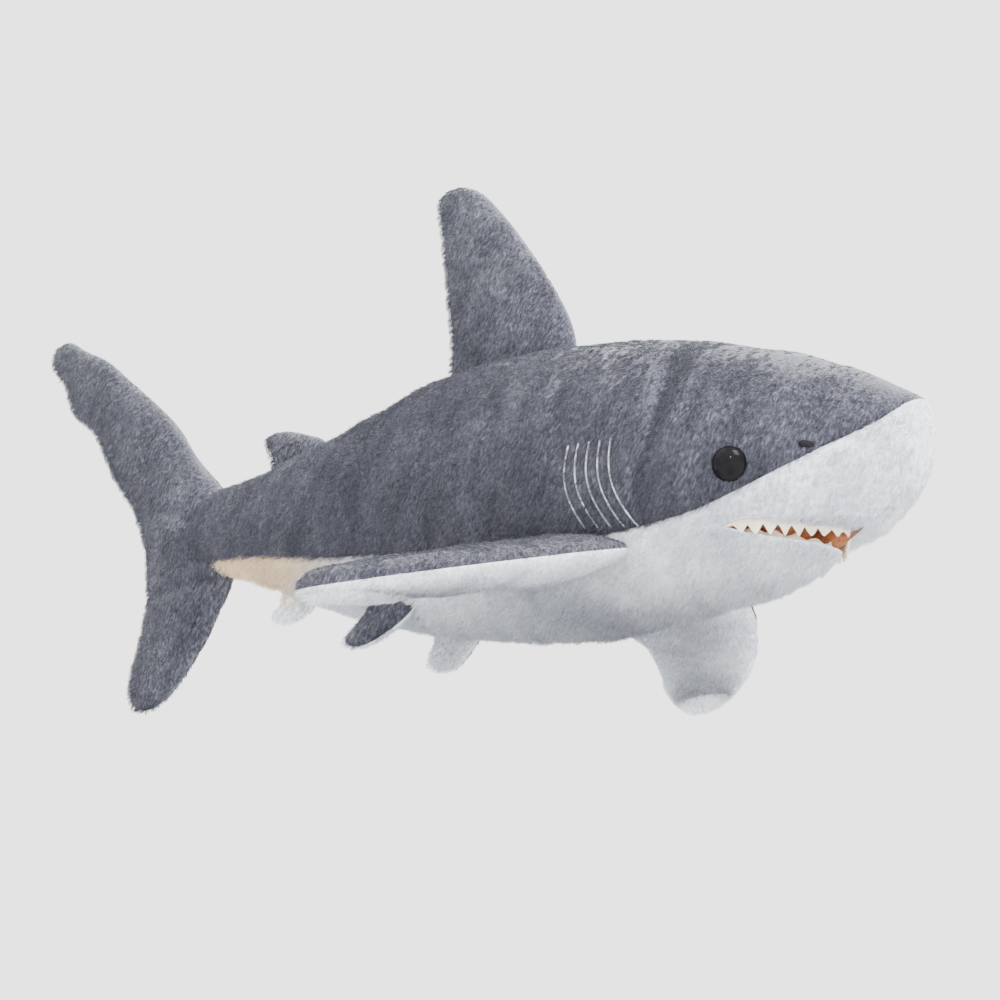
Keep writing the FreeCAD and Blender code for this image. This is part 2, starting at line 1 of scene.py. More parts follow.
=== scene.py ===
import math
import bmesh
import bpy
import numpy as np
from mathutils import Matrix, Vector


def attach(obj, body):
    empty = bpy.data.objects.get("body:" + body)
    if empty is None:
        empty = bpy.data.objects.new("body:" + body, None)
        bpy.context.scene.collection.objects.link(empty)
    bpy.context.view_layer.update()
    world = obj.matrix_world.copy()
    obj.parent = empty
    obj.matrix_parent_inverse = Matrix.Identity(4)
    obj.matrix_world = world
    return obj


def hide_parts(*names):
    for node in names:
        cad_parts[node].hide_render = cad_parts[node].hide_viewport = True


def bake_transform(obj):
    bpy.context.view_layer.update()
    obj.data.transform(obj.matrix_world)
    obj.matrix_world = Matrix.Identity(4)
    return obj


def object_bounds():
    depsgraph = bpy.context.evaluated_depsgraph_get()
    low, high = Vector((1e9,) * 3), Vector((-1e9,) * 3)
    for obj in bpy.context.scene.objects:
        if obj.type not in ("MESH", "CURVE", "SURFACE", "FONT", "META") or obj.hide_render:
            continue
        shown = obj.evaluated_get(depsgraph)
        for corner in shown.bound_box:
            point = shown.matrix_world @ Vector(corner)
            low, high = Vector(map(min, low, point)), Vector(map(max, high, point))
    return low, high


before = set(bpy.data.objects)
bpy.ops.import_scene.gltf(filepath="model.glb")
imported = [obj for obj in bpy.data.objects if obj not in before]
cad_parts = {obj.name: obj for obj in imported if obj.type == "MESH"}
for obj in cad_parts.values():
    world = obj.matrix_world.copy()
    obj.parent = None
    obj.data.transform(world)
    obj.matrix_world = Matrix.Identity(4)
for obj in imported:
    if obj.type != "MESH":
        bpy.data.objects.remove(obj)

start_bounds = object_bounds()
MM = 0.001

# The visual skins start from the same sections as the solids, in millimetres in
# the row frame: +X forward, +Y left, +Z up. Each skin is a grid of rings, so the
# sewn seams are lines of the grid and each panel is its own mesh.

# Body sections from tail to nose: x, top z, bottom z, half width.
BODY = np.array([
    (-114.0, 79.0, 57.5, 4.0),
    (-109.0, 82.0, 54.5, 8.6),
    (-103.0, 83.6, 52.3, 11.8),
    (-84.0, 86.0, 46.2, 16.5),
    (-64.0, 89.8, 38.2, 22.0),
    (-39.0, 94.5, 28.5, 28.5),
    (-9.0, 102.5, 18.3, 36.0),
    (21.0, 108.5, 11.0, 42.5),
    (51.0, 109.7, 6.4, 46.0),
    (81.0, 108.0, 4.8, 46.5),
    (111.0, 103.4, 7.2, 44.5),
    (136.0, 97.6, 10.4, 40.0),
    (156.0, 91.4, 14.6, 34.5),
    (171.0, 85.0, 20.0, 28.2),
    (183.0, 78.6, 26.8, 21.8),
    (192.0, 73.2, 33.6, 15.8),
    (198.0, 69.2, 41.0, 10.8),
    (201.2, 66.0, 49.0, 6.4),
    (202.5, 58.0, 58.0, 0.01),
])

# Seam between the grey back and the white underside: x, z.
SIDE_SEAM = np.array([
    (-130.0, 56.0), (-84.0, 52.4), (-33.0, 42.2), (20.0, 34.0), (70.0, 28.0), (101.5, 28.3),
    (131.4, 32.0), (156.0, 40.0), (180.0, 51.3), (191.0, 58.0), (199.0, 65.5), (206.0, 72.0),
])

STALK_END = -113.5
MOUTH_BACK = 139.0
MOUTH_CORNER_Z = 27.0
LIP_ROOF = 28.4
# Height of the lower lip at the corners, and its fall per millimetre forwards.
LIP_FLOOR = 25.6
LIP_FALL = 11.0 / 91.0
# The mouth opens over this length, and the cheek seam climbs back from its corner.
MOUTH_EASE = 9.0
CHEEK_SLOPE = 0.36
# Middle x of the mouth's pocket, and its half length and half width.
TONGUE = (135.0, 24.0, 21.0)
FACE_BACK = 124.0
BELLY_FLOOR = 5.0

# Upright folds on the flank: x at mid height, depth, width, lean.
FLANK_FOLDS = [
    (121, 2.4, 4.0, 0.10), (131, -1.0, 4.0, 0.05), (84, 1.2, 4.5, 0.05), (58, 1.4, 5.0, -0.1),
    (30, 1.3, 5.5, 0.12), (-8, 1.5, 6.0, 0.15), (-38, 1.1, 4.5, 0.25), (-60, 1.2, 3.6, 0.5),
    (-80, 1.0, 3.6, 0.4),
]
# Creases across the underside: x in the middle, depth, width, bend.
BELLY_CREASES = [
    (66, 1.2, 3.0, 0.15), (54, 0.9, 3.0, 0.22), (119, 1.3, 3.6, -0.12), (127, 0.7, 2.6, -0.1),
    (20, 0.7, 4.0, 0.1), (-20, 0.6, 4.0, 0.0),
]
# Gill stitches: x at the top, x at the bottom, top z, bottom z.
GILLS = [(91.0 + 4.1 * i, 93.6 + 4.75 * i, 59.2, 31.0 - 0.5 * i) for i in range(5)]
GILL_BOW = 3.4


# ---- numbers on curves -------------------------------------------------------
def spline(xs, ys, at):
    """Natural cubic spline through (xs, ys), read at these places."""
    xs, ys, at = (np.asarray(a, float) for a in (xs, ys, at))
    count = len(xs)
    h = np.diff(xs)
    m = np.eye(count)
    r = np.zeros(count)
    for i in range(1, count - 1):
        m[i, i - 1:i + 2] = h[i - 1], 2 * (h[i - 1] + h[i]), h[i]
        r[i] = 6 * ((ys[i + 1] - ys[i]) / h[i] - (ys[i] - ys[i - 1]) / h[i - 1])
    c = np.linalg.solve(m, r)
    i = np.clip(np.searchsorted(xs, at) - 1, 0, count - 2)
    a, b = xs[i + 1] - at, at - xs[i]
    return ((c[i] * a ** 3 + c[i + 1] * b ** 3) / (6 * h[i])
            + (ys[i] / h[i] - c[i] * h[i] / 6) * a
            + (ys[i + 1] / h[i] - c[i + 1] * h[i] / 6) * b)


def smooth(t):
    """0 below 0 and 1 above 1, with an even S between."""
    t = np.clip(t, 0, 1)
    return t * t * (3 - 2 * t)


def bump(d, width):
    """1 where d is 0, fading to nothing over about two widths."""
    return np.exp(-(d / width) ** 2)


def lattice_noise(p, seed):
    """Smooth repeatable noise from -1 to 1 at these points."""
    cell = np.floor(p).astype(np.int64)
    f = p - cell
    f = f * f * (3 - 2 * f)
    total = 0
    for corner in range(8):
        off = np.array([corner & 1, corner >> 1 & 1, corner >> 2 & 1])
        k = cell + off
        h = (k[..., 0] * 73856093) ^ (k[..., 1] * 19349663) ^ (k[..., 2] * 83492791) ^ (seed * 2654435761)
        h = (h ^ (h >> 13)) * 1274126177 & 0xFFFFFFFF
        value = ((h ^ (h >> 16)) & 0xFFFF) / 32767.5 - 1
        w = np.prod(np.where(off == 1, f, 1 - f), axis=-1)
        total = total + value * w
    return total


# ---- grid meshes -------------------------------------------------------------
def grid_object(name, p, flip=False):
    """A mesh object from a grid of points in millimetres."""
    rows, cols = p.shape[:2]
    index = np.arange(rows * cols).reshape(rows, cols)
    quads = np.stack([index[:-1, :-1], index[1:, :-1], index[1:, 1:], index[:-1, 1:]], -1)
    quads = quads.reshape(-1, 4)
    if flip:
        quads = quads[:, ::-1]
    mesh = bpy.data.meshes.new(name)
    mesh.from_pydata((p.reshape(-1, 3) * MM).tolist(), [], quads.tolist())
    obj = bpy.data.objects.new(name, mesh)
    bpy.context.collection.objects.link(obj)
    return obj


def joined(name, objects):
    """These meshes as one object, doubles merged, smooth shaded."""
    bm = bmesh.new()
    for o in objects:
        bm.from_mesh(o.data)
        bpy.data.objects.remove(o)
    bmesh.ops.remove_doubles(bm, verts=bm.verts, dist=2e-5)
    bmesh.ops.dissolve_degenerate(bm, dist=1e-6, edges=bm.edges)
    bmesh.ops.recalc_face_normals(bm, faces=bm.faces)
    mesh = bpy.data.meshes.new(name)
    bm.to_mesh(mesh)
    bm.free()
    mesh.polygons.foreach_set("use_smooth", [True] * len(mesh.polygons))
    obj = bpy.data.objects.new(name, mesh)
    bpy.context.collection.objects.link(obj)
    return obj


# ---- body --------------------------------------------------------------------
FINE = 1.0
SECTION_T = np.concatenate([[0], np.cumsum(np.linalg.norm(np.diff(BODY, axis=0), axis=1))])


def grid_lines(count):
    return max(3, int(count * FINE))


def body_rings(count):
    """x, middle z, half height and half width of rings from the tail to the nose."""
    t = np.linspace(0, 1, count) ** 0.92 * SECTION_T[-1]
    x, top, bottom, wide = (spline(SECTION_T, BODY[:, k], t) for k in range(4))
    wide = np.maximum(wide, 0.01)
    return x, (top + bottom) / 2, np.maximum((top - bottom) / 2, 0.01), wide


ring_x, ring_z, ring_h, ring_w = body_rings(grid_lines(300))
on_body = ring_x >= STALK_END
ring_x, ring_z, ring_h, ring_w = (a[on_body] for a in (ring_x, ring_z, ring_h, ring_w))


def angle_at(z):
    """Ring angle where each ring passes this height: 90 degrees is the top."""
    return np.arcsin(np.clip((z - ring_z) / ring_h, -1, 1))


def lip_floor_at(x):
    """Height of the lower lip at this x."""
    return LIP_FLOOR - (x - MOUTH_BACK) * LIP_FALL


seam_z = spline(SIDE_SEAM[:, 0], SIDE_SEAM[:, 1], ring_x)
lip_floor = lip_floor_at(ring_x)
mouth_open = smooth((ring_x - MOUTH_BACK) / MOUTH_EASE)
upper_z = MOUTH_CORNER_Z + (LIP_ROOF - MOUTH_CORNER_Z) * mouth_open
lower_z = MOUTH_CORNER_Z + (lip_floor - MOUTH_CORNER_Z) * mouth_open
behind = ring_x < MOUTH_BACK
cheek_z = np.where(behind, MOUTH_CORNER_Z + (MOUTH_BACK - ring_x) * CHEEK_SLOPE, upper_z)
cheek_z = np.minimum(cheek_z, seam_z)
a_seam = angle_at(seam_z)
a_upper = np.minimum(angle_at(cheek_z), a_seam)
a_lower = np.where(behind, a_upper, np.minimum(angle_at(lower_z), a_upper))
a_top = np.full_like(a_seam, math.pi / 2)
a_bottom = np.full_like(a_seam, -math.pi / 2)

def gill_x(gill, z):
    """x of this gill line at height z."""
    t = np.clip((gill[2] - z) / (gill[2] - gill[3]), 0, 1)
    return gill[0] + (gill[1] - gill[0]) * t - GILL_BOW * np.sin(math.pi * t)


def body_relief(p, seam):
    """How far the stuffed skin stands out or sinks in at these points."""
    x, y, z = p[..., 0], p[..., 1], p[..., 2]
    side = np.abs(y)
    out = 0.55 * lattice_noise(p / np.array([26.0, 40.0, 34.0]) + 7.3, 3)
    out += 0.45 * lattice_noise(p / np.array([11.0, 26.0, 22.0]) + 1.7, 5)
    out += 0.14 * lattice_noise(p / np.array([4.0, 7.0, 7.0]), 9)
    out -= 1.0 * bump(z - seam, 1.5) * (x < 197)
    # soft upright folds on the flank
    flank = smooth((z - 24) / 20) * smooth((104 - z) / 24)
    for place, depth, width, lean in FLANK_FOLDS:
        line = place + lean * (z - 65) + 2.5 * np.sin(z / 11 + place)
        out -= depth * bump(x - line, width) * flank
    # folds under the lower lip
    jaw = smooth((x - 140) / 8) * smooth((184 - x) / 8) * smooth((20 - z) / 3)
    for drop, depth in ((5.5, 0.9), (10.0, 0.7)):
        line = LIP_FLOOR - (x - MOUTH_BACK) * 0.12 - drop
        out -= depth * bump(z - line - 1.2 * np.sin(x / 6 + drop), 1.5) * jaw
    # threads pull the cloth in
    for gill in GILLS:
        on = smooth((z - gill[3] + 2) / 3) * smooth((gill[2] + 2 - z) / 3) * (side > 20)
        out -= 0.75 * bump(x - gill_x(gill, z), 1.1) * on
    # creases of the belly behind the fin and the fold under the jaw
    under = smooth((30 - z) / 14)
    for place, depth, width, bend in BELLY_CREASES:
        out -= depth * bump(x - (place - bend * side), width) * under
    return out * smooth((202 - x) / 14)


def body_block(top, bottom, count):
    """Points of one panel between two seam lines, on the left side."""
    f = np.linspace(0, 1, count)[None, :]
    angle = top[:, None] * (1 - f) + bottom[:, None] * f
    return np.stack([
        np.repeat(ring_x[:, None], count, 1),
        ring_w[:, None] * np.cos(angle),
        ring_z[:, None] + ring_h[:, None] * np.sin(angle),
    ], -1)


def settled(p):
    """The body's points with their relief."""
    out = body_relief(p, np.repeat(seam_z[:, None], p.shape[1], 1))
    x, y, z = p[..., 0], p[..., 1], p[..., 2]
    normal = np.stack([
        np.gradient(ring_w, ring_x)[:, None] * -np.abs(np.cos(np.arctan2(z - ring_z[:, None], y))),
        y / ring_w[:, None] ** 2 * 40,
        (z - ring_z[:, None]) / ring_h[:, None] ** 2 * 40,
    ], -1)
    normal[..., 0] = np.clip(normal[..., 0], -1, 1)
    normal /= np.maximum(np.linalg.norm(normal, axis=-1, keepdims=True), 1e-9)
    return p + normal * out[..., None]


def chin_back(x):
    """How far the chin sits behind the body's own outline."""
    return 7.0 * smooth((x - 145) / 26)


def lip_inset(x):
    """How far the upper felt strip sits in under the snout."""
    return 13.0 * smooth((x - 152) / 34)


def mouth_pocket(p):
    """The lip-to-lip points pushed in towards the tongue, in a rounded pocket."""
    count = p.shape[1]
    f = np.linspace(0, 1, count)[None, :]
    depth = np.minimum(1, np.minimum(f, 1 - f) / 0.16) ** 0.6
    depth = depth * smooth((ring_x - MOUTH_BACK) / 10.0)[:, None]
    dx, dy = p[..., 0] - TONGUE[0], p[..., 1]
    angle = np.arctan2(dy, dx)
    reach = 1 / np.sqrt((np.cos(angle) / TONGUE[1]) ** 2 + (np.sin(angle) / TONGUE[2]) ** 2)
    far = np.maximum(np.hypot(dx, dy), 1e-6)
    scale = 1 - depth * np.maximum(0, 1 - reach / far)
    inset = lip_inset(ring_x)[:, None] * smooth((0.6 - f) / 0.3)
    scale = np.minimum(scale, 1 - inset / far)
    q = p.copy()
    q[..., 0] = TONGUE[0] + dx * scale - chin_back(p[..., 0]) * smooth((f - 0.5) * 2)
    q[..., 1] = dy * scale
    return q


def both_sides(name, p):
    """A left block and its mirror as one mesh."""
    q = p.copy()
    q[..., 1] *= -1
    return [grid_object(name + "_l", p), grid_object(name + "_r", q, True)]


def one_side(name, p, sign=1):
    """A grid as a mesh, mirrored to the right side where sign is -1."""
    q = p.copy()
    q[..., 1] *= sign
    return joined(name, [grid_object(name, q, sign < 0)])


back = settled(body_block(a_top, a_seam, grid_lines(78)))
face = settled(body_block(a_seam, a_upper, grid_lines(34)))
belly = settled(body_block(a_lower, a_bottom, grid_lines(58)))
opening = settled(body_block(a_upper, a_lower, grid_lines(26)))
inside = mouth_pocket(opening)
belly[..., 2] = np.maximum(belly[..., 2], BELLY_FLOOR)
belly[..., 0] -= chin_back(belly[..., 0])
mouth_rows = (ring_x > MOUTH_BACK - 1) & (a_upper > -math.pi / 2 + 1e-6)
last = np.where(mouth_rows)[0][-1] + 2
first = np.where(mouth_rows)[0][0]
across = np.linspace(0, 1, 9)[None, :, None]
under_snout = (opening[first:last, :1] * (1 - across) + inside[first:last, :1] * across)

SIDES = (("left", 1), ("right", -1))
front = ring_x > FACE_BACK
parts = {}
for side, sign in SIDES:
    parts["back_fur_" + side] = one_side("back_fur_" + side, back, sign)
    cheek = one_side("cheek", face[front], sign)
    parts["face_fur_" + side] = joined(
        "face_fur_" + side, [cheek, one_side("under_snout", under_snout, sign)])
parts["belly_fur"] = joined("belly_fur", both_sides("belly", belly))
parts["mouth_inside"] = joined("mouth_inside", both_sides("mouth", inside[first:last]))


# ---- fins --------------------------------------------------------------------
# Span from the hinge line, front edge, back edge, thickness; the last is the tip.
DORSAL = [(0, 64, 10, 13), (20, 55, 9, 12.7), (43, 40.8, 6.2, 11), (60, 27.8, 4, 8.1),
          (68.3, 17.6, 6.4, 4.5), (70, 12, 11.6, 0.2)]
SECOND = [(0, 12, -13, 8), (4, 7, -14, 7.6), (7.5, 1, -15, 6.6), (10.3, -5, -15.2, 4.6),
          (11.6, -10.4, -10.6, 0.2)]
ANAL = [(0, 7, -7, 7), (4, 3, -8.5, 6), (7.5, -2.5, -10, 4), (9, -7.3, -7.7, 0.2)]
PECTORAL = [(0, 107, 52, 15), (14, 103.5, 53.5, 15), (26, 97.5, 52.5, 14.6), (44, 87.5, 46.5, 14),
            (55, 79, 41.5, 13.4), (65, 69.5, 37.5, 12.6), (73, 60, 36, 11.4), (78.6, 52, 37.5, 8.4),
            (81.2, 45.2, 44.2, 0.2)]
PELVIC = [(0, 9.5, -9.5, 7.2), (5, 7, -10.5, 7), (11, 2, -12.5, 5.6), (15, -2.5, -13.5, 3.6),
          (16.8, -8.8, -9.2, 0.2)]
# Tail fin from the lower tip: front x and z, back x and z, thickness.
TAIL = [
    (-141.6, 0.4, -142.0, 0.4, 0.2), (-137.6, 1.2, -146.4, 2.0, 3.2), (-131.5, 3.8, -148.8, 6.0, 6.0),
    (-126, 8, -149, 11, 8.6), (-118.5, 16.5, -147.2, 18.5, 11), (-111, 27, -143.4, 29.5, 13.5),
    (-103.5, 40, -140.4, 44, 16), (-97.5, 52, -140.2, 57, 18.5), (-96.5, 68, -143.2, 70.5, 19),
    (-102.5, 83.5, -150, 84.5, 17.5), (-116.5, 99, -160.6, 98.5, 15.5), (-128, 114.5, -169.6, 114, 14),
    (-141, 127.5, -177, 124.5, 13), (-157, 141, -187.5, 132.5, 11), (-172.5, 153.6, -192.5, 145, 9),
    (-187, 161.8, -200.0, 153.5, 6.5), (-195.0, 165.4, -201.6, 159.8, 3.6),
    (-199.9, 163.6, -200.1, 163.4, 0.2),
]
# Points on the pectoral and dorsal hinge lines.
PECTORAL_HINGE = (0, 43.8, 21.3)
DORSAL_HINGE = (0, 0, 117.1)


def oval_rows(centres, chords, thicks, rings, count, relief, seed):
    """Grids of the + and - thickness halves of a fin lofted through ovals."""
    centres, chords, thicks = (np.asarray(a, float) for a in (centres, chords, thicks))
    steps = np.linalg.norm(np.diff(centres, axis=0), axis=1) + 0.6 * np.abs(
        np.diff(np.linalg.norm(chords, axis=1)))
    t = np.concatenate([[0], np.cumsum(steps)])
    at = np.linspace(0, t[-1], rings)
    c, u, w = (np.stack([spline(t, rows[:, k], at) for k in range(3)], -1)
               for rows in (centres, chords, thicks))
    angle = np.linspace(0, math.pi, count)
    flat = np.abs(np.sin(angle)) ** 0.86
    halves = []
    for sign in (1, -1):
        p = (c[:, None] + u[:, None] * np.cos(angle)[None, :, None]
             + w[:, None] * (sign * flat)[None, :, None])
        edge = np.linalg.norm(u, axis=1)[:, None] * (1 - np.abs(np.cos(angle)))[None, :]
        out = relief(p, edge, seed + sign)
        normal = w / np.maximum(np.linalg.norm(w, axis=1, keepdims=True), 1e-9)
        halves.append(p + normal[:, None] * (sign * out * np.sin(angle) ** 0.5)[..., None])
    return halves


def fin_relief(p, edge, seed):
    """Soft lumps, with small puckers where the edge seam gathers the cloth."""
    out = 0.6 * lattice_noise(p / 17.0 + 3.1, seed) + 0.25 * lattice_noise(p / 7.0, seed + 20)
    out += 0.35 * lattice_noise(p / np.array([3.2, 3.2, 3.2]), seed + 40) * bump(edge, 4.0)
    return out


def fin_frame(hinge, chord, span):
    """A fin's hinge point, chord, span and thickness directions, made square."""
    hinge, chord, span = (np.asarray(a, float) for a in (hinge, chord, span))
    chord = chord / np.linalg.norm(chord)
    thick = np.cross(chord, span)
    thick /= np.linalg.norm(thick)
    return hinge, chord, np.cross(thick, chord), thick


def fin_halves(place, sections, root, waist, rings, count, relief=fin_relief, seed=1):
    """The two halves of a fin whose root runs in to a sewn waist in the body."""
    hinge, chord, span, thick = place
    first = sections[0]
    rows = [(-root - 5, first[1] - 1, first[2] + 1, first[3] * waist),
            (-root + 1.0, first[1] + 0.5, first[2] - 0.5, first[3] * (waist + 0.12))] + list(sections)
    centres = [hinge + chord * (f + b) / 2 + span * s for s, f, b, t in rows]
    chords = [chord * (f - b) / 2 for s, f, b, t in rows]
    thicks = [thick * t / 2 for s, f, b, t in rows]
    return oval_rows(centres, chords, thicks, rings, count, relief, seed)


def pectoral_relief(p, edge, seed):
    """The fin's lumps, with a crease across its middle and one at its root."""
    out = fin_relief(p, edge, seed)
    away = p[..., 1] - PECTORAL_HINGE[1]
    out -= 1.3 * bump(away - 24 - 0.25 * (p[..., 0] - 75), 3.0)
    out -= 0.9 * bump(away - 45 + 0.15 * (p[..., 0] - 60), 3.5)
    out -= 0.8 * bump(away - 5, 3.0)
    return out


def fin_place(seam, out, root, chord, span):
    """A fin's frame, with its hinge line this far out from a point on its seam."""
    return fin_frame(np.array(seam) + np.array(out) * root, chord, span)


# Each fin's rounded root and its seam gap, between its hinge line and the body.
SEAM_GAP = 0.8
PECTORAL_ROOT = 6.5 + SEAM_GAP
DORSAL_ROOT = 6.5 + SEAM_GAP
SECOND_ROOT = 4.0 + SEAM_GAP
PELVIC_ROOT = 3.6 + SEAM_GAP
ANAL_ROOT = 3.5 + SEAM_GAP
DROOP = math.radians(14.0)
SECOND_SLOPE = math.radians(10.5)
ANAL_SLOPE = math.radians(21.5)
pectoral = fin_frame(PECTORAL_HINGE, (1, 0, 0), (0, math.cos(DROOP), -math.sin(DROOP)))
pelvic_out = np.array([0.12, 0.56, -0.82]) / np.linalg.norm([0.12, 0.56, -0.82])
pelvic = fin_place((-3, 18.6, 22.6), pelvic_out, PELVIC_ROOT, (0.967, 0.11, -0.231), (-0.16, 0.42, -0.9))
second_span = (-math.sin(SECOND_SLOPE), 0, math.cos(SECOND_SLOPE))
second_chord = (math.cos(SECOND_SLOPE), 0, math.sin(SECOND_SLOPE))
second = fin_place((-63, 0, 90), second_span, SECOND_ROOT, second_chord, second_span)
anal_span = (-math.sin(ANAL_SLOPE), 0, -math.cos(ANAL_SLOPE))
anal_chord = (math.cos(ANAL_SLOPE), 0, -math.sin(ANAL_SLOPE))
anal = fin_place((-62, 0, 37.4), anal_span, ANAL_ROOT, anal_chord, anal_span)
dorsal = fin_frame(DORSAL_HINGE, (1, 0, 0), (0, 0, 1))

halves = fin_halves(pectoral, PECTORAL, PECTORAL_ROOT, 0.62, grid_lines(110), grid_lines(64),
                    pectoral_relief, seed=2)
for side, sign in SIDES:
    for kind, half in zip(("top", "bottom"), halves):
        name = "pectoral_%s_%s_fur" % (side, kind)
        parts[name] = one_side(name, half, sign)
halves = fin_halves(pelvic, PELVIC, PELVIC_ROOT, 0.7, grid_lines(36), grid_lines(30), seed=3)
for side, sign in SIDES:
    for kind, half in zip(("outer", "inner"), halves):
        name = "pelvic_%s_%s_fur" % (side, kind)
        parts[name] = one_side(name, half, sign)
for prefix, place, sections, root, rings, count, seed in (
        ("dorsal_fin", dorsal, DORSAL, DORSAL_ROOT, 96, 56, 4),
        ("second_dorsal_fin", second, SECOND, SECOND_ROOT, 36, 34, 5),
        ("anal_fin", anal, ANAL, ANAL_ROOT, 28, 24, 6)):
    halves = fin_halves(place, sections, root, 0.85, grid_lines(rings), grid_lines(count), seed=seed)
    sides = ("left", "right") if place[3][1] > 0 else ("right", "left")
    for side, half in zip(sides, halves):
        name = "%s_%s_fur" % (prefix, side)
        parts[name] = one_side(name, half)


def tail_relief(p, edge, seed):
    """Tail fin lumps, with the crease between its two lobes."""
    out = fin_relief(p, edge, seed)
    out -= 1.5 * bump(p[..., 2] - 47 - 0.10 * (p[..., 0] + 120), 2.6)
    out -= 0.8 * bump(p[..., 2] - 76 + 0.3 * (p[..., 0] + 120), 4.0)
    out -= 0.8 * bump(p[..., 2] - 100 - 0.4 * (p[..., 0] + 140), 4.5)
    return out


front = np.array([(a, 0, b) for a, b, c, d, t in TAIL], float)
rear = np.array([(c, 0, d) for a, b, c, d, t in TAIL], float)
thicks = np.array([(0, t / 2, 0) for a, b, c, d, t in TAIL], float)
halves = oval_rows((front + rear) / 2, (front - rear) / 2, thicks,
                   grid_lines(190), grid_lines(56), tail_relief, seed=8)
parts["tail_fin_left_fur"] = one_side("tail_fin_left_fur", halves[0])
parts["tail_fin_right_fur"] = one_side("tail_fin_right_fur", halves[1])


# ---- felt teeth --------------------------------------------------------------
FELT_THICKNESS = 1.0


def lip_path(heights, inward, count, upper):
    """Points along a lip from the right corner round the front to the left."""
    angle = angle_at(heights)
    rows = (ring_x > MOUTH_BACK + 1.5) & (angle > -math.pi / 2 + 1e-3)
    x, y = ring_x[rows], (ring_w * np.cos(angle))[rows]
    x = np.concatenate([x, [x[-1] + y[-1] * 0.25]])
    y = np.concatenate([y, [0]])
    if upper:
        scale = 1 - lip_inset(x) / np.hypot(x - TONGUE[0], y)
        x, y = TONGUE[0] + (x - TONGUE[0]) * scale, y * scale
    else:
        x = x - chin_back(x)
    path = np.concatenate([np.stack([x, -y], -1), np.stack([x, y], -1)[::-1][1:]])
    d = np.gradient(path, axis=0)
    d /= np.linalg.norm(d, axis=1, keepdims=True)
    path = path + np.stack([-d[:, 1], d[:, 0]], -1) * inward
    s = np.concatenate([[0], np.cumsum(np.linalg.norm(np.diff(path, axis=0), axis=1))])
    at = np.linspace(0, s[-1], count)
    return at, np.stack([np.interp(at, s, path[:, k]) for k in range(2)], -1)


def felt_teeth(name, at, path, root_z, gum_z, tip_z, pitch, lean, front_cut=0.0):
    """A felt strip with a row of pointed teeth cut in its free edge."""
    along = at / at[-1]
    ends = smooth(np.minimum(along, 1 - along) / 0.10)
    wave = np.abs(((at - at[-1] / 2) / pitch) % 1 * 2 - 1)
    tooth = wave ** 1.15
    wobble = 1 + 0.16 * np.sin(at * 1.7) * np.sin(at * 0.53 + 1)
    wobble -= front_cut * bump(along - 0.5, 0.12)
    edge = gum_z + (tip_z - gum_z) * tooth * ends * wobble
    rows = np.linspace(0, 1, 9)[:, None]
    z = root_z[None, :] * (1 - rows) + edge[None, :] * rows
    d = np.gradient(path, axis=0)
    d /= np.linalg.norm(d, axis=1, keepdims=True)
    side = np.stack([-d[:, 1], d[:, 0]], -1)
    shift = lean * (rows ** 1.5)
    p = np.stack([path[None, :, 0] + side[None, :, 0] * shift,
                  path[None, :, 1] + side[None, :, 1] * shift, z], -1)
    obj = joined(name, [grid_object(name, p)])
    solid = obj.modifiers.new("thickness", "SOLIDIFY")
    solid.thickness = FELT_THICKNESS * MM
    solid.offset = 0
    bpy.context.view_layer.objects.active = obj
    obj.select_set(True)
    bpy.ops.object.modifier_apply(modifier="thickness")
    return obj


at, path = lip_path(np.full_like(ring_x, LIP_ROOF), 1.0, 420, True)
parts["upper_teeth"] = felt_teeth("upper_teeth", at, path, root_z=np.full_like(at, LIP_ROOF + 0.9),
                                  gum_z=27.0, tip_z=23.0, pitch=5.0, lean=0.8, front_cut=0.45)
at, path = lip_path(lip_floor, 2.4, 320, False)
lip_z = lip_floor_at(path[:, 0] + chin_back(path[:, 0]))
parts["lower_teeth"] = felt_teeth("lower_teeth", at, path, root_z=lip_z - 0.8,
                                  gum_z=lip_z + 0.9, tip_z=lip_z + 2.6, pitch=7.2, lean=0.6)


# ---- eyes, threads -----------------------------------------------------------
EYE_X, EYE_Z = 147.4, 45.4
EYE_RADIUS = 6.0
EYE_DOME = 4.2
EYE_SINK = 0.6
GILL_THREAD = 0.34
NOSTRIL_THREAD = 1.15


def surface_point(x, z, relief=True):
    """Left side surface of the body at this x and z."""
    x, z = np.asarray(x, float), np.asarray(z, float)
    w, m, h = (np.interp(x, ring_x, a) for a in (ring_w, ring_z, ring_h))
    p = np.stack([x, w * np.sqrt(np.maximum(1 - ((z - m) / h) ** 2, 0)), z], -1)
    if relief:
        out = body_relief(p, np.interp(x, ring_x, seam_z))
        p = p + np.stack([0 * x, out * 0.9, (z - m) / h * out * 0.4], -1)
    return p


def eye_button(name, x, z, radius, height, sink, sign):
    """A domed button lying on the body's side, with a rounded rim below the dome."""
    along = surface_point(x + 2, z, False) - surface_point(x - 2, z, False)
    up = surface_point(x, z + 2, False) - surface_point(x, z - 2, False)
    normal = np.cross(up, along)
    normal *= np.sign(normal[1]) / np.linalg.norm(normal)
    base = surface_point(x, z, False) - normal * sink
    a = np.cross(normal, [0, 0, 1])
    a /= np.linalg.norm(a)
    b = np.cross(normal, a)
    quarter_turn = np.linspace(0, math.pi / 2, grid_lines(22))
    dome = [(radius * math.sin(t), height * math.cos(t)) for t in quarter_turn]
    rim = [(radius * 1.02, -0.4), (radius, -0.9), (radius * 0.86, -1.3)]
    turn = np.linspace(0, 2 * math.pi, grid_lines(64))
    p = np.array([base + normal * h + r * (a * np.cos(turn)[:, None] + b * np.sin(turn)[:, None])
                  for r, h in dome + rim])
    p[..., 1] *= sign
    return joined(name, [grid_object(name, p)])


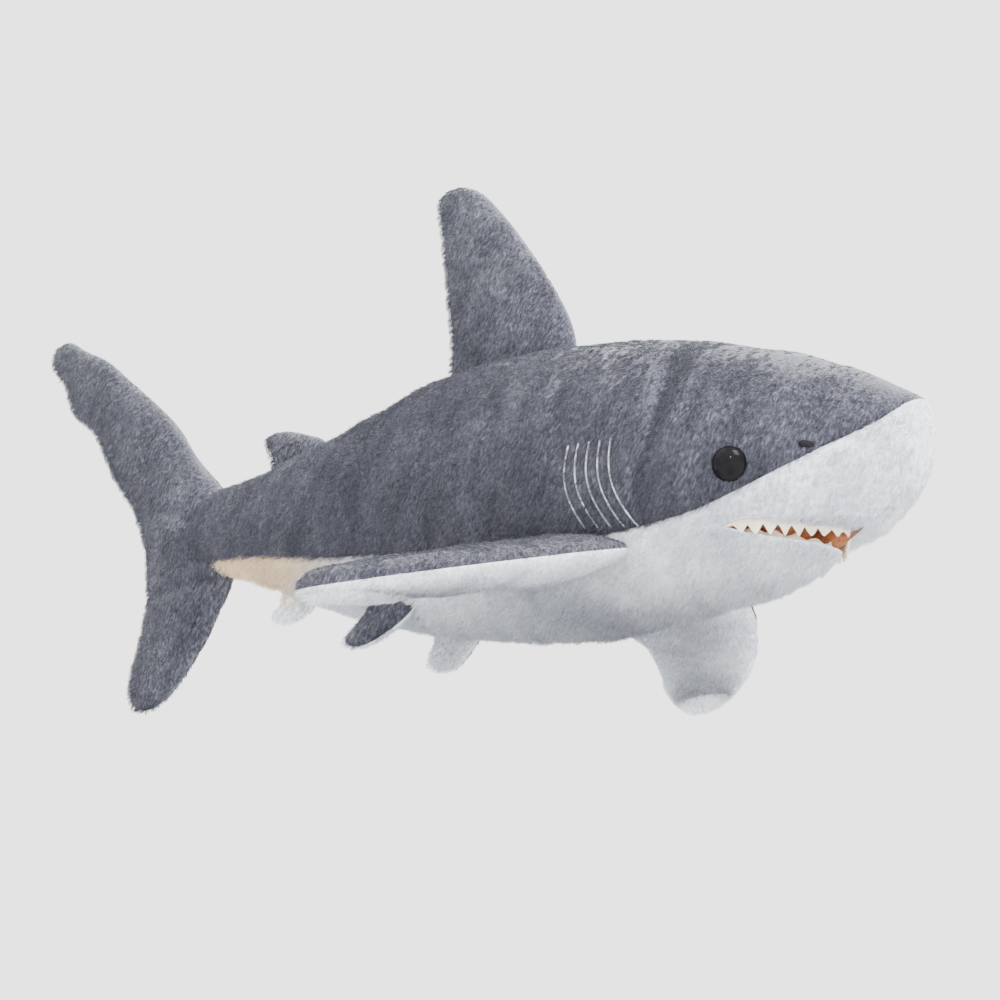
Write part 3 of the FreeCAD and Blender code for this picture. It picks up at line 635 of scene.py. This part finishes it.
for side, sign in SIDES:
    parts["eye_button_" + side] = eye_button(
        "eye_button_" + side, EYE_X, EYE_Z, EYE_RADIUS, EYE_DOME, EYE_SINK, sign)


def thread(name, path, radius, segments=8, twist=0.0):
    """A round thread along these points."""
    d = np.gradient(path, axis=0)
    d /= np.linalg.norm(d, axis=1, keepdims=True)
    up = np.array([0.0, 1.0, 0.0])
    a = np.cross(d, up)
    a /= np.linalg.norm(a, axis=1, keepdims=True)
    b = np.cross(d, a)
    angles = np.linspace(0, 2 * math.pi, segments + 1)
    length = np.concatenate([[0], np.cumsum(np.linalg.norm(np.diff(path, axis=0), axis=1))])
    taper = np.minimum(1, np.minimum(length, length[-1] - length) / radius + 0.05) ** 0.5
    r = radius * taper * (1 + 0.12 * np.sin(length * twist))
    p = path[:, None] + r[:, None, None] * (a[:, None] * np.cos(angles)[None, :, None]
                                            + b[:, None] * np.sin(angles)[None, :, None])
    return grid_object(name, p)


gill_lines = []
for gill in GILLS:
    z = np.linspace(gill[2], gill[3], 60)
    gill_lines.append(surface_point(gill_x(gill, z), z) + [0, 0.55, 0])
x = np.linspace(169.0, 173.4, 16)
nostril_line = surface_point(x, 49.4 + 0.9 * np.cos((x - 168.6) / 3)) + [0.2, 0.9, 0]
for side, sign in SIDES:
    flip = np.array([1, sign, 1])
    parts["gill_threads_" + side] = joined(
        "gill_threads_" + side, [thread("gill", line * flip, GILL_THREAD, 8, 4.5) for line in gill_lines])
    parts["nostril_thread_" + side] = joined(
        "nostril_thread_" + side, [thread("nostril", nostril_line * flip, NOSTRIL_THREAD, 10)])


# ---- materials ---------------------------------------------------------------
def material(name):
    """A new material, its nodes and links, and its shader."""
    m = bpy.data.materials.new(name)
    m.use_nodes = True
    nodes, links = m.node_tree.nodes, m.node_tree.links
    nodes.clear()
    out = nodes.new("ShaderNodeOutputMaterial")
    shader = nodes.new("ShaderNodeBsdfPrincipled")
    links.new(shader.outputs["BSDF"], out.inputs["Surface"])
    return m, nodes, links, shader


def mapped_noise(nodes, links, turn, scale, detail=2.0, roughness=0.55):
    """Noise in the part's own space, stretched by scale (per metre) after a turn."""
    where = nodes.new("ShaderNodeTexCoord")
    turned = nodes.new("ShaderNodeMapping")
    turned.inputs["Rotation"].default_value = turn
    stretched = nodes.new("ShaderNodeMapping")
    stretched.inputs["Scale"].default_value = scale
    noise = nodes.new("ShaderNodeTexNoise")
    noise.inputs["Scale"].default_value = 1.0
    noise.inputs["Detail"].default_value = detail
    noise.inputs["Roughness"].default_value = roughness
    links.new(where.outputs["Object"], turned.inputs["Vector"])
    links.new(turned.outputs["Vector"], stretched.inputs["Vector"])
    links.new(stretched.outputs["Vector"], noise.inputs["Vector"])
    return noise.outputs["Fac"]


def ramp(nodes, links, source, stops):
    """A colour ramp over source, from pairs of position and colour."""
    r = nodes.new("ShaderNodeValToRGB")
    elements = r.color_ramp.elements
    while len(elements) < len(stops):
        elements.new(0.5)
    for e, (at, colour) in zip(elements, stops):
        e.position = at
        e.color = (*colour, 1)
    links.new(source, r.inputs["Fac"])
    return r.outputs["Color"]


def mix(nodes, links, kind, amount, a, b):
    """Colours a and b mixed this way; each is a colour or a socket."""
    m = nodes.new("ShaderNodeMix")
    m.data_type = "RGBA"
    m.blend_type = kind
    if isinstance(amount, float):
        m.inputs["Factor"].default_value = amount
    else:
        links.new(amount, m.inputs["Factor"])
    # inputs 6 and 7 and output 2 are the colour sockets of this node
    for value, socket in ((a, m.inputs[6]), (b, m.inputs[7])):
        if isinstance(value, tuple):
            socket.default_value = (*value, 1)
        else:
            links.new(value, socket)
    return m.outputs[2]


def add_bump(nodes, links, shader, height, distance):
    """Surface relief from height, this many metres deep."""
    b = nodes.new("ShaderNodeBump")
    b.inputs["Distance"].default_value = distance
    links.new(height, b.inputs["Height"])
    links.new(b.outputs["Normal"], shader.inputs["Normal"])


# Turn that lays the streaks along the brushed pile.
COMB = (0.0, math.radians(-24), 0.0)


def spread(nodes, links, source, low, high):
    """0 where source is at low, 1 where it is at high."""
    reach = nodes.new("ShaderNodeMapRange")
    reach.inputs["From Min"].default_value = low
    reach.inputs["From Max"].default_value = high
    links.new(source, reach.inputs["Value"])
    return reach.outputs["Result"]


def painted_shade_mask(nodes, links):
    """Where the warm painted shade goes: 1 high on the white skin towards the tail, 0 below and in front.
    """
    where = nodes.new("ShaderNodeTexCoord")
    split = nodes.new("ShaderNodeSeparateXYZ")
    links.new(where.outputs["Object"], split.inputs["Vector"])
    both = nodes.new("ShaderNodeMath")
    both.operation = "MULTIPLY"
    links.new(spread(nodes, links, split.outputs["X"], 0.0, -0.06), both.inputs[0])
    links.new(spread(nodes, links, split.outputs["Z"], 0.030, 0.040), both.inputs[1])
    return both.outputs["Value"]


def plush(name, deep, middle, light, sheen, painted_shade=None):
    """Short brushed pile: combed streaks, patches where it lies another way, and where given a warm
    painted shade on the white under the tail stalk.
    """
    m, nodes, links, shader = material(name)
    streak = mapped_noise(nodes, links, COMB, (1500, 1100, 430), 3.0, 0.6)
    patch = mapped_noise(nodes, links, COMB, (120, 90, 44), 4.0, 0.62)
    broad = mapped_noise(nodes, links, (0, 0, 0), (28, 20, 16), 1.0, 0.5)
    tone = ramp(nodes, links, streak, [(0.34, deep), (0.51, middle), (0.68, light)])
    patch_tone = ramp(nodes, links, patch, [(0.32, (0.55, 0.55, 0.60)), (0.66, (1.30, 1.30, 1.27))])
    broad_tone = ramp(nodes, links, broad, [(0.35, (0.78, 0.78, 0.82)), (0.65, (1.14, 1.14, 1.12))])
    colour = mix(nodes, links, "MULTIPLY", 0.9 if painted_shade is None else 0.22, tone, patch_tone)
    colour = mix(nodes, links, "MULTIPLY", 0.8, colour, broad_tone)
    if painted_shade is not None:
        # multiply in the warm painted shade under the tail stalk
        colour = mix(nodes, links, "MULTIPLY", painted_shade_mask(nodes, links), colour, painted_shade)
    info = nodes.new("ShaderNodeHairInfo")
    varied = ramp(nodes, links, info.outputs["Random"],
                  [(0.0, (0.66, 0.66, 0.70)), (0.7, (1.0, 1.0, 1.0)), (1.0, (1.35, 1.35, 1.35))])
    colour = mix(nodes, links, "MULTIPLY", info.outputs["Is Strand"], colour, varied)
    links.new(colour, shader.inputs["Base Color"])
    add_bump(nodes, links, shader, streak, 0.0008)
    shader.inputs["Roughness"].default_value = 0.85
    shader.inputs["Specular IOR Level"].default_value = 0.2
    shader.inputs["Sheen Weight"].default_value = sheen
    shader.inputs["Sheen Roughness"].default_value = 0.45
    return m


def felt(name, deep, light):
    """Pressed felt: fine matted fibres with no direction."""
    m, nodes, links, shader = material(name)
    fibres = mapped_noise(nodes, links, (0.3, 0.2, 0.1), (900, 900, 900), 4.0, 0.7)
    stain = mapped_noise(nodes, links, (0, 0, 0), (110, 110, 90), 1.0, 0.5)
    colour = ramp(nodes, links, fibres, [(0.32, deep), (0.68, light)])
    colour = mix(nodes, links, "MULTIPLY", 0.5, colour,
                 ramp(nodes, links, stain, [(0.35, (0.90, 0.84, 0.76)), (0.6, (1.0, 1.0, 1.0))]))
    links.new(colour, shader.inputs["Base Color"])
    shader.inputs["Roughness"].default_value = 0.95
    shader.inputs["Sheen Weight"].default_value = 0.15
    add_bump(nodes, links, shader, fibres, 0.0003)
    return m


def eye_plastic(name):
    """Glossy black plastic with the faintest flow marks."""
    m, nodes, links, shader = material(name)
    cloud = mapped_noise(nodes, links, (0, 0, 0), (240, 240, 240), 1.0, 0.5)
    colour = ramp(nodes, links, cloud, [(0.3, (0.004, 0.004, 0.005)), (0.7, (0.009, 0.008, 0.009))])
    links.new(colour, shader.inputs["Base Color"])
    shader.inputs["Roughness"].default_value = 0.07
    shader.inputs["Specular IOR Level"].default_value = 0.05
    return m


def yarn(name, deep, light, sheen=0.2):
    """Twisted thread."""
    m, nodes, links, shader = material(name)
    twist = mapped_noise(nodes, links, (0.5, 0.6, 0), (2600, 2600, 900), 2.0, 0.5)
    links.new(ramp(nodes, links, twist, [(0.35, deep), (0.65, light)]), shader.inputs["Base Color"])
    shader.inputs["Roughness"].default_value = 0.7
    shader.inputs["Specular IOR Level"].default_value = 0.15
    shader.inputs["Sheen Weight"].default_value = sheen
    add_bump(nodes, links, shader, twist, 0.0002)
    return m


GREY = ((0.022, 0.022, 0.034), (0.052, 0.054, 0.074), (0.125, 0.128, 0.160))
WHITE = ((0.60, 0.64, 0.70), (0.80, 0.83, 0.87), (0.93, 0.94, 0.95))
# warm tint of the painted shade on the white skin under the tail stalk
PAINTED_SHADE_CREAM = (0.86, 0.66, 0.42)
looks = {
    "grey_plush": plush("grey_plush", *GREY, 0.25),
    "white_plush": plush("white_plush", *WHITE, 0.15, PAINTED_SHADE_CREAM),
    "felt_ivory": felt("felt_ivory", (0.70, 0.60, 0.44), (0.90, 0.84, 0.72)),
    "mouth_fabric": felt("mouth_fabric", (0.22, 0.065, 0.022), (0.42, 0.15, 0.06)),
    "eye_black": eye_plastic("eye_black"),
    "thread_pale": yarn("thread_pale", (0.42, 0.45, 0.52), (0.74, 0.76, 0.80)),
    "thread_dark": yarn("thread_dark", (0.002, 0.002, 0.003), (0.008, 0.008, 0.010), 0.0),
}

# piece: (material slot, body, CAD nodes it stands for)
SETUP = {
    "belly_fur": ("white_plush", "torso", ["belly_panel", "body_stuffing"]),
    "mouth_inside": ("mouth_fabric", "torso", ["mouth_lining"]),
    "upper_teeth": ("felt_ivory", "torso", ["upper_teeth_felt"]),
    "lower_teeth": ("felt_ivory", "torso", ["lower_teeth_felt"]),
}
for side, _ in SIDES:
    SETUP["back_fur_" + side] = ("grey_plush", "torso", ["back_panel_" + side])
    SETUP["face_fur_" + side] = ("white_plush", "torso", ["face_panel_" + side])
    SETUP["eye_button_" + side] = ("eye_black", "torso", ["eye_" + side, "eye_washer_" + side])
    SETUP["gill_threads_" + side] = ("thread_pale", "torso", ["gill_stitches_" + side])
    SETUP["nostril_thread_" + side] = ("thread_dark", "torso", ["nostril_stitch_" + side])
    SETUP["pectoral_%s_top_fur" % side] = (
        "grey_plush", "pectoral_fin_" + side, ["pectoral_%s_top" % side, "pectoral_%s_stuffing" % side])
    SETUP["pectoral_%s_bottom_fur" % side] = (
        "white_plush", "pectoral_fin_" + side, ["pectoral_%s_bottom" % side])
    SETUP["pelvic_%s_outer_fur" % side] = (
        "grey_plush", "pelvic_fin_" + side, ["pelvic_%s_outer" % side, "pelvic_%s_stuffing" % side])
    SETUP["pelvic_%s_inner_fur" % side] = (
        "white_plush", "pelvic_fin_" + side, ["pelvic_%s_inner" % side])
    for fin, slot_name in (("dorsal_fin", "grey_plush"), ("second_dorsal_fin", "grey_plush"),
                           ("anal_fin", "white_plush"), ("tail_fin", "grey_plush")):
        SETUP["%s_%s_fur" % (fin, side)] = (slot_name, fin, ["%s_%s_panel" % (fin, side)])
for fin in ("dorsal_fin", "second_dorsal_fin", "anal_fin", "tail_fin"):
    SETUP[fin + "_left_fur"][2].append(fin + "_stuffing")

PLUSH_SLOTS = ("grey_plush", "white_plush")
for name, (slot_name, body, cad_nodes) in SETUP.items():
    piece = parts[name]
    piece.data.materials.append(looks[slot_name])
    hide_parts(*cad_nodes)
    if body == "torso" and not name.startswith(("back_fur", "belly_fur")):
        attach(piece, "torso")
    else:
        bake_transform(piece)


def brushed(piece, seed, comb, parents, children, length):
    """Short pile growing from a skin and brushed along comb."""
    modifier = piece.modifiers.new("pile", "PARTICLE_SYSTEM")
    system = modifier.particle_system
    system.seed = seed
    pile = system.settings
    pile.type = "HAIR"
    pile.use_advanced_hair = True
    pile.count = parents
    pile.hair_step = 3
    pile.display_step = pile.render_step = 2
    # a strand grows to four times its starting speed
    quarter = length / 4
    pile.normal_factor = quarter * 0.55
    pile.object_align_factor = [quarter * c for c in comb]
    pile.factor_random = quarter * 0.30
    pile.child_type = "INTERPOLATED"
    pile.child_percent = children
    pile.rendered_child_count = children
    pile.child_length = 1.0
    pile.clump_factor = 0.55
    pile.clump_shape = 0.1
    pile.roughness_1 = 0.0006
    pile.roughness_1_size = 0.004
    pile.roughness_endpoint = 0.0005
    pile.root_radius = 1.0
    pile.tip_radius = 0.25
    pile.radius_scale = 0.00011
    pile.use_close_tip = True


def area_of(piece):
    """Area of a piece's skin, in square metres."""
    return sum(p.area for p in piece.data.polygons)


PARENTS_PER_M2 = 420000
CHILDREN = 12
BODY_PILE = {"grey_plush": 2.5, "white_plush": 2.1}
FIN_PILE = 1.5
for seed, (name, (slot_name, body, cad_nodes)) in enumerate(SETUP.items()):
    if slot_name not in PLUSH_SLOTS:
        continue
    comb = (-0.85, 0.0, -0.45) if body == "torso" else (-0.7, 0.0, -0.5)
    if name.startswith("pectoral"):
        comb = (-0.6, 0.4 if "left" in name else -0.4, -0.3)
    length = BODY_PILE[slot_name] if body == "torso" else FIN_PILE
    parents = int(area_of(parts[name]) * PARENTS_PER_M2)
    brushed(parts[name], seed, comb, parents, CHILDREN, length * MM)


# ---- floor, light and camera -------------------------------------------------
FLOOR_HALF = 3
floor_z = start_bounds[0][2]
corners = [(-1, -1), (1, -1), (1, 1), (-1, 1)]
mesh = bpy.data.meshes.new("floor")
mesh.from_pydata([(x * FLOOR_HALF, y * FLOOR_HALF, floor_z) for x, y in corners], [], [(0, 1, 2, 3)])
floor = bpy.data.objects.new("floor", mesh)
bpy.context.collection.objects.link(floor)
m, nodes, links, shader = material("floor")
shader.inputs["Base Color"].default_value = (0.60, 0.60, 0.60, 1)
shader.inputs["Roughness"].default_value = 0.9
shader.inputs["Emission Color"].default_value = (1.0, 1.0, 1.0, 1)
shader.inputs["Emission Strength"].default_value = 0.55
# seen from below, the floor is clear
under_floor = nodes.new("ShaderNodeBsdfTransparent")
facing = nodes.new("ShaderNodeNewGeometry")
either = nodes.new("ShaderNodeMixShader")
out = [k for k in nodes if k.type == "OUTPUT_MATERIAL"][0]
links.new(facing.outputs["Backfacing"], either.inputs["Fac"])
links.new(shader.outputs["BSDF"], either.inputs[1])
links.new(under_floor.outputs["BSDF"], either.inputs[2])
links.new(either.outputs["Shader"], out.inputs["Surface"])
mesh.materials.append(m)

world = bpy.context.scene.world or bpy.data.worlds.new("studio")
bpy.context.scene.world = world
world.use_nodes = True
background = [k for k in world.node_tree.nodes if k.type == "BACKGROUND"][0]
background.inputs["Color"].default_value = (1.0, 1.0, 1.0, 1)
background.inputs["Strength"].default_value = 3.0

TARGET = Vector((0.031, 0, 0.060))


def around(azimuth, elevation, distance):
    """A point seen from the target in this direction."""
    a, e = math.radians(azimuth), math.radians(elevation)
    return TARGET + distance * Vector((math.sin(a) * math.cos(e), -math.cos(a) * math.cos(e), math.sin(e)))


def softbox(name, azimuth, elevation, distance, width, height, power):
    """A soft rectangular light aimed at the target, in watts."""
    light = bpy.data.lights.new(name, "AREA")
    light.shape = "RECTANGLE"
    light.size, light.size_y = width, height
    light.energy = power
    obj = bpy.data.objects.new(name, light)
    obj.location = around(azimuth, elevation, distance)
    obj.rotation_euler = (TARGET - obj.location).to_track_quat("-Z", "Y").to_euler()
    bpy.context.collection.objects.link(obj)


softbox("key", 62, 48, 1.5, 0.6, 0.8, 42)
softbox("front", 25, 20, 1.5, 0.12, 0.16, 8)
softbox("rim", 185, 58, 1.4, 1.2, 0.5, 85)

CAMERA_AZIMUTH = 35
CAMERA_ELEVATION = -15.5
CAMERA_DISTANCE = 0.880

camera = bpy.data.cameras.new("camera")
camera.sensor_width = 36
camera.lens = 86.8
camera.clip_start, camera.clip_end = 0.01, 20
view = bpy.data.objects.new("camera", camera)
view.location = around(CAMERA_AZIMUTH, CAMERA_ELEVATION, CAMERA_DISTANCE)
view.rotation_euler = (TARGET - view.location).to_track_quat("-Z", "Y").to_euler()
bpy.context.collection.objects.link(view)
bpy.context.scene.camera = view

bpy.context.view_layer.update()
